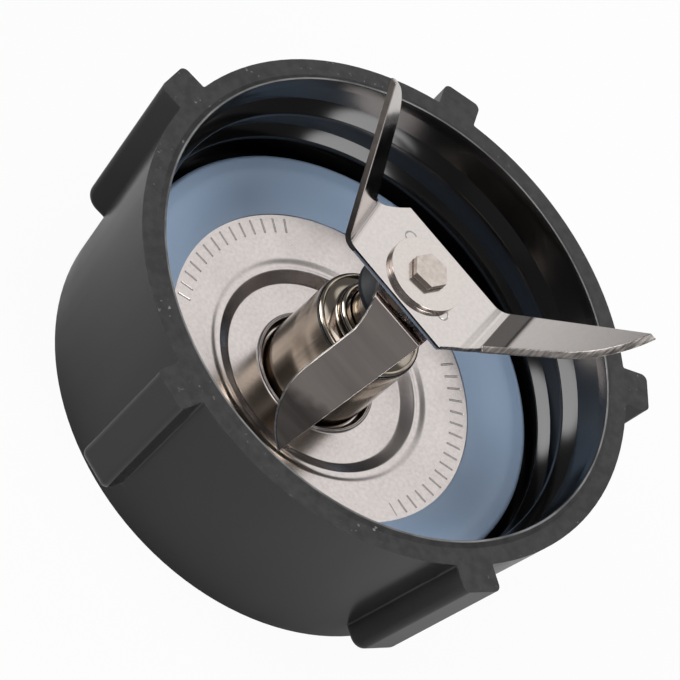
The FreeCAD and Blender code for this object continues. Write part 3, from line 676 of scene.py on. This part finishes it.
nylon = plain_finish("filled nylon", "#0e1116", "#171c23", 0.55, 0.0, 300, 0.2)
bronze = plain_finish("sintered bronze", "#7d5a34", "#9a744a", 0.5, 0.9, 1500, 0.5)
felt = plain_finish("oiled wool felt", "#8c8064", "#a5987c", 0.9, 0.0, 1500, 0.8)
lip_rubber = plain_finish("lip seal rubber", "#161616", "#202020", 0.55, 0.0, 400, 0.2)
tell(nylon, bronze, felt, lip_rubber)

# %% [markdown]
# ## Marks, wear and painted shade on the blades
#
# Two small half rings are punched into the hub beside the washer, and like the ticks they are
# darkened there with painted shade. The shallower wing leaves the hub in a soft curve of some eight
# millimetres, and in polished steel that curve gathers a dark patch. The solid has only a tight
# bend, so a relief spreads it out: it measures how far a point lies up the wing from the fold, and
# builds a height whose slope changes evenly between four places. The tips of the lower wings are
# scratched by stirred grit, and from a ragged line outwards their colour is darkened with painted
# shade that stands for a dark reflection.

# %% Punched rings, the soft bend, and wear and painted shade on the tips
# a point of the fold in millimetres, then the fold's turn and the wing's rise in degrees
FOLD = ((0, 11.44, 39.3), 4.1, 55.3)
# places up the wing, in millimetres from the fold, and the change of curvature at each
SOFT_BEND = ((-2.1, 0.211), (-1.05, -0.564), (1.05, 0.455), (6.15, -0.102))
PUNCHED = ((-3.15, -5.35), (2.25, 5.5))
PUNCHED_RADIUS = 0.9 * MM
PUNCHED_WIDTH = 0.2 * MM
RAGGED = 6 * MM
# where the tips' scratches and painted shade start and where they are full, from the axis
WEAR_AND_SHADE_FROM = (20.0 * MM, 21.6 * MM)


def punched_rings(tree, place):
    """Two thin rings on the hub, which the washer partly covers."""
    offset = from_axis(tree, place)[0]
    rings = 0.0
    for across, along in PUNCHED:
        reach = add(tree, VECTOR_MATH, (offset, (across * MM, along * MM, 0)), operation="DISTANCE")["Value"]
        beyond = add(tree, MATH, (reach, PUNCHED_RADIUS), operation="SUBTRACT")[0]
        off = add(tree, MATH, (beyond,), operation="ABSOLUTE")[0]
        ring = add(tree, MAP_RANGE, (off, PUNCHED_WIDTH * 0.3, PUNCHED_WIDTH * 0.6, 1.0, 0.0))[0]
        rings = add(tree, MATH, (rings, ring), operation="ADD")[0]
    return rings


def soft_bend(tree, place):
    """A height in bump steps whose slope follows SOFT_BEND up the wing."""
    point, turn, rise = FOLD
    away = add(tree, VECTOR_MATH, (place, Vector(point) * MM), operation="SUBTRACT")[0]
    on_hub, on_wing = [add(tree, VECTOR_MATH, (away, Vector(direction(90 + turn, slope)) / MM),
                           operation="DOT_PRODUCT")["Value"] for slope in (0, rise)]
    before = add(tree, MATH, (on_hub, 0.0), operation="MINIMUM")[0]
    after = add(tree, MATH, (on_wing, 0.0), operation="MAXIMUM")[0]
    distance = add(tree, MATH, (before, after), operation="ADD")[0]
    height = 0.0
    for start, change in SOFT_BEND:
        past = add(tree, MATH, (distance, start), operation="SUBTRACT")[0]
        past = add(tree, MATH, (past, 0.0), operation="MAXIMUM")[0]
        square = add(tree, MATH, (past, past), operation="MULTIPLY")[0]
        height = add(tree, MATH, (square, change / 2 * MM / BUMP_STEP, height), operation="MULTIPLY_ADD")[0]
    return height


def tip_wear_and_painted_shade(tree, place):
    """The share of wear and of painted shade on the lower wings, from their distance to the axis."""
    radius = from_axis(tree, place)[1]
    clouds = add(tree, NOISE, {"Vector": place, "Scale": 180, "Detail": 4})[0]
    ragged = add(tree, MATH, (clouds, RAGGED, radius), operation="MULTIPLY_ADD")[0]
    return add(tree, MAP_RANGE, (ragged, *WEAR_AND_SHADE_FROM))[0]


blade_steel = stainless_steel("polished stainless steel", "#dbd4d0", 0.09, 1200, 0.08, 0.06, 0.8, punched_rings,
                              soft_bend)
# the lower wings: the mottle in their colour is a painted reflection, and their tips get painted shade and
# deeper scratches
worn_steel_painted_dark = stainless_steel("worn stainless steel", "#dcd0cb", 0.14, 1600, 0.15, 0.3, 1.0, worn_and_painted_dark=tip_wear_and_painted_shade,
                             mottle_scale=330)
tell(blade_steel, worn_steel_painted_dark)

# %% [markdown]
# ## Ground edges
#
# The sharpened wings are ground across their cutting edges, so the ground band is rough and
# striped and catches light from everywhere. The steeper upper wing keeps the edge that the shear
# left, which is torn and rough, and whose dark colour is a painted dark reflection. Both are found
# by their normals, which point along the fold line.
# Real grinding stripes are finer than a pixel, so these are drawn a quarter of a millimetre apart.

# %% Ground edges
GROUND_FROM = 0.22
SHEARED_FROM = 0.85
HUB_END = 9 * MM
GRINDING_TURN = (math.radians(-55), 0, 0)
GRINDING_STRETCH = (0.15, 1, 0.12)


def ground_steel():
    material, tree, place = new_material("ground stainless steel")
    stretched = add(tree, "ShaderNodeMapping",
                    {"Vector": place, "Rotation": GRINDING_TURN, "Scale": GRINDING_STRETCH})[0]
    lines = add(tree, NOISE, {"Vector": stretched, "Scale": 4200, "Detail": 3})[0]
    rough = add(tree, MAP_RANGE, (lines, 0.3, 0.7, 0.3, 0.5))[0]
    shade = add(tree, MAP_RANGE, (lines, 0.4, 0.62, 0.5, 1.0))[0]
    colour = add(tree, MIX, {0: shade, 6: (0, 0, 0, 1), 7: linear("#beb7b2")}, data_type="RGBA")[2]
    bump = add(tree, BUMP, {"Distance": BUMP_STEP, "Strength": 0.8, "Height": lines})["Normal"]
    finish_material(tree, {"Metallic": 1.0, "Base Color": colour, "Roughness": rough, "Normal": bump})
    return material


def cut_edges(piece, along, material, least, chosen):
    """Give another material to the faces that look along the fold line, on the wings that are chosen."""
    piece.data.materials.append(material)
    for face in piece.data.polygons:
        if abs(face.normal.dot(along)) > least and chosen(face.center):
            face.material_index = len(piece.data.materials) - 1


edge_steel = ground_steel()
# the sheared edge is rough, and its dark colour is a painted dark reflection
sheared_steel_painted_dark = plain_finish("sheared stainless steel painted dark", "#5d5753", "#857d78", 0.35, 1.0, 900, 0.6)
tell(edge_steel, sheared_steel_painted_dark)

# %% [markdown]
# ## Every node in its finish
#
# Each skin and its solid get the finish of the real piece, and the thread and the bead get the
# collar's plastic. The ground and the sheared edges come last, because they change single faces
# of the blades' skins.

# %% Dress every node
FINISHES = {
    polypropylene: ["jar_cap"],
    rubber: ["sealing_ring"],
    pressed_steel: ["flange_plate"],
    drawn_steel_painted_streaks: ["bearing_tower", "neck_collar"],
    turned_steel: ["seal_cap", "bush_retainer", "drive_coupling", "thrust_washer", "gap_washer"],
    shaft_steel: ["drive_shaft"],
    washer_steel: ["top_washer"],
    blade_steel: ["upper_blade"],
    worn_steel_painted_dark: ["lower_blade"],
    nylon: ["blade_spacer", "fibre_washer"],
    bronze: ["lower_bush", "upper_bush"],
    felt: ["oil_felt"],
    lip_rubber: ["shaft_seal", "slinger_washer"],
}
for finish, nodes in FINISHES.items():
    for node in nodes:
        dress(skins[node], finish)
        dress(frame["nodes"][node], finish)
dress(thread, polypropylene)
dress(bead, polypropylene)
along_x, along_y = Vector((1, 0, 0)), Vector((0, 1, 0))
cut_edges(skins["upper_blade"], along_x, edge_steel, GROUND_FROM, lambda middle: middle.y > HUB_END)
cut_edges(skins["upper_blade"], along_x, sheared_steel_painted_dark, SHEARED_FROM, lambda middle: middle.y < -HUB_END)
cut_edges(skins["lower_blade"], along_y, edge_steel, GROUND_FROM, lambda middle: True)
print("dressed:", sum(len(nodes) for nodes in FINISHES.values()))

# %% [markdown]
# ## Camera
#
# The photograph was taken with a long lens from about 44 degrees above the collar's rim, and
# turned, so that the axis leans to the upper right. The camera looks at a point near the
# middle of the collar from a distance, and is then rolled about its own line of sight.

# %% Camera
VIEW_TARGET = Vector((6.0, -1.06, 24.86)) * MM
VIEW_DISTANCE = 555.7 * MM
VIEW_AZIMUTH = 0.82
VIEW_ELEVATION = 44.31
VIEW_ROLL = math.radians(48.61)
SENSOR_WIDTH = 36.0
FOCAL_SHARE = 4000 / 680

camera_data = bpy.data.cameras.new("long lens")
camera_data.sensor_width = SENSOR_WIDTH
camera_data.lens = SENSOR_WIDTH * FOCAL_SHARE
camera_data.clip_start = 0.01
camera_data.clip_end = 20
camera = bpy.data.objects.new("camera", camera_data)
bpy.context.collection.objects.link(camera)
towards_lens = Vector(direction(VIEW_AZIMUTH, VIEW_ELEVATION))
upright = towards_lens.to_track_quat("Z", "Y").to_matrix().to_4x4()
camera.matrix_world = (Matrix.Translation(VIEW_TARGET + towards_lens * VIEW_DISTANCE)
                       @ upright @ Matrix.Rotation(VIEW_ROLL, 4, "Z"))
bpy.context.scene.camera = camera
bpy.context.scene.view_settings.view_transform = "Standard"
print("camera axes:", [tuple(round(v, 3) for v in camera.matrix_world.col[i][:3]) for i in range(3)])

# %% [markdown]
# ## The studio round the part
#
# Polished steel and glossy plastic show what stands round them, so the studio is made first and
# the brightness follows. A world shader can hold a whole studio: each soft box is a round patch
# of light in one direction of the sky, given by its azimuth and elevation as seen from the part.
# Its strength falls off softly between two angles, and where two overlap the brighter one counts.
# A panel of several patches hangs beyond the part, where flat steel mirrors it to the lens. The
# room itself stays dim, above all behind the camera, which is what makes the wing that faces the
# lens look dark.

# %% Soft boxes in a dim studio
WALLS = 0.1
MIRRORED_BACKDROP = 0.05
SOFT_BOXES = [
    # name, azimuth, elevation, inner angle, outer angle, strength
    ("overhead panel", 178, 42, 20, 27, 0.98),
    ("top of the panel", -178, 58, 11, 17, 1.05),
    ("left wing of the panel", -152, 39, 6, 13, 0.85),
    ("right wing of the panel", 152, 28, 8, 16, 0.85),
    ("foot of the panel", 180, 8, 12, 24, 0.5),
    ("foot of the right wing", 148, 2, 9, 17, 0.6),
    ("right soft box", 66, 22, 14, 21, 6.6),
    ("left soft box", -78, 20, 14, 21, 6.6),
    ("left reflector", -90, 48, 8, 20, 1.3),
    ("wall behind the camera", 0, 45, 10, 25, 0.17),
    ("ceiling", 0, 90, 8, 26, 2.0),
]


def seen_white(tree, to_camera, to_mirror):
    """How much of plain white the camera sees, and how much a mirror or a glass sees."""
    path = add(tree, "ShaderNodeLightPath")
    camera_share = add(tree, MATH, (path["Is Camera Ray"], to_camera), operation="MULTIPLY")[0]
    mirrors = add(tree, MATH, (path["Is Glossy Ray"], path["Is Transmission Ray"]), operation="MAXIMUM")[0]
    mirror_share = add(tree, MATH, (mirrors, to_mirror), operation="MULTIPLY")[0]
    return add(tree, MATH, (camera_share, mirror_share), operation="MAXIMUM")[0]


def dim_studio():
    world = bpy.data.worlds.new("dim studio")
    bpy.context.scene.world = world
    world.use_nodes = True
    tree = world.node_tree
    tree.nodes.clear()
    place = add(tree, "ShaderNodeTexCoord")["Generated"]
    total = WALLS
    for name, azimuth, elevation, inner, outer, power in SOFT_BOXES:
        facing = add(tree, VECTOR_MATH, (place, direction(azimuth, elevation)), operation="DOT_PRODUCT",
                     label=name)["Value"]
        edges = [math.cos(math.radians(angle)) for angle in (outer, inner)]
        glow = add(tree, MAP_RANGE, (facing, *edges, 0.0, power), interpolation_type="SMOOTHSTEP")[0]
        total = add(tree, MATH, (glow, total), operation="MAXIMUM")[0]
    studio = add(tree, "ShaderNodeBackground", {"Color": (1, 1, 1, 1), "Strength": total})[0]
    backdrop = add(tree, "ShaderNodeBackground", {"Color": (1, 1, 1, 1), "Strength": 1.0})[0]
    white_share = seen_white(tree, 1.0, MIRRORED_BACKDROP)
    mix = add(tree, "ShaderNodeMixShader", (white_share, studio, backdrop))[0]
    add(tree, "ShaderNodeOutputWorld", {"Surface": mix})


dim_studio()
print("soft boxes:", [box[0] for box in SOFT_BOXES])

# %% [markdown]
# ## The floor
#
# The part stands on a pale sweep. To the camera the floor is nearly white by its own colour, and
# a small share of its real shading is kept, so that the part still leaves a faint shadow. Steel
# and plastic mirror the floor mostly as it is lit, with some of that white in it. Beyond a
# quarter of a metre its own colour fades to dark grey, as where a studio's sweep ends.

# %% Pale floor
SHADOW_SHARE = 0.05
MIRRORED_FLOOR = 0.05
SWEEP_NEAR = 250 * MM
SWEEP_FAR = 600 * MM


def pale_floor():
    bpy.ops.object.select_all(action="DESELECT")
    bpy.ops.mesh.primitive_plane_add(size=6, location=(0, 0, 0))
    floor = bpy.context.object
    floor.name = "floor"
    material, tree, place = new_material("pale floor")
    away = add(tree, VECTOR_MATH, (place,), operation="LENGTH")["Value"]
    near = add(tree, MAP_RANGE, (away, SWEEP_NEAR, SWEEP_FAR, 1.0, 0.0))[0]
    colour = add(tree, MIX, {0: near, 6: linear("#3c3c3c"), 7: linear("#dcdcdc")}, data_type="RGBA")[2]
    lit = add(tree, "ShaderNodeBsdfDiffuse", {"Color": colour})[0]
    white = add(tree, "ShaderNodeEmission", {"Color": (1, 1, 1, 1), "Strength": 1.0})[0]
    mirrored = add(tree, MATH, (near, MIRRORED_FLOOR), operation="MULTIPLY")[0]
    white_share = seen_white(tree, 1 - SHADOW_SHARE, mirrored)
    mix = add(tree, "ShaderNodeMixShader", (white_share, lit, white))[0]
    add(tree, "ShaderNodeOutputMaterial", {"Surface": mix})
    floor.data.materials.append(material)
    return floor


floor = pale_floor()
tell(floor.data.materials[0])
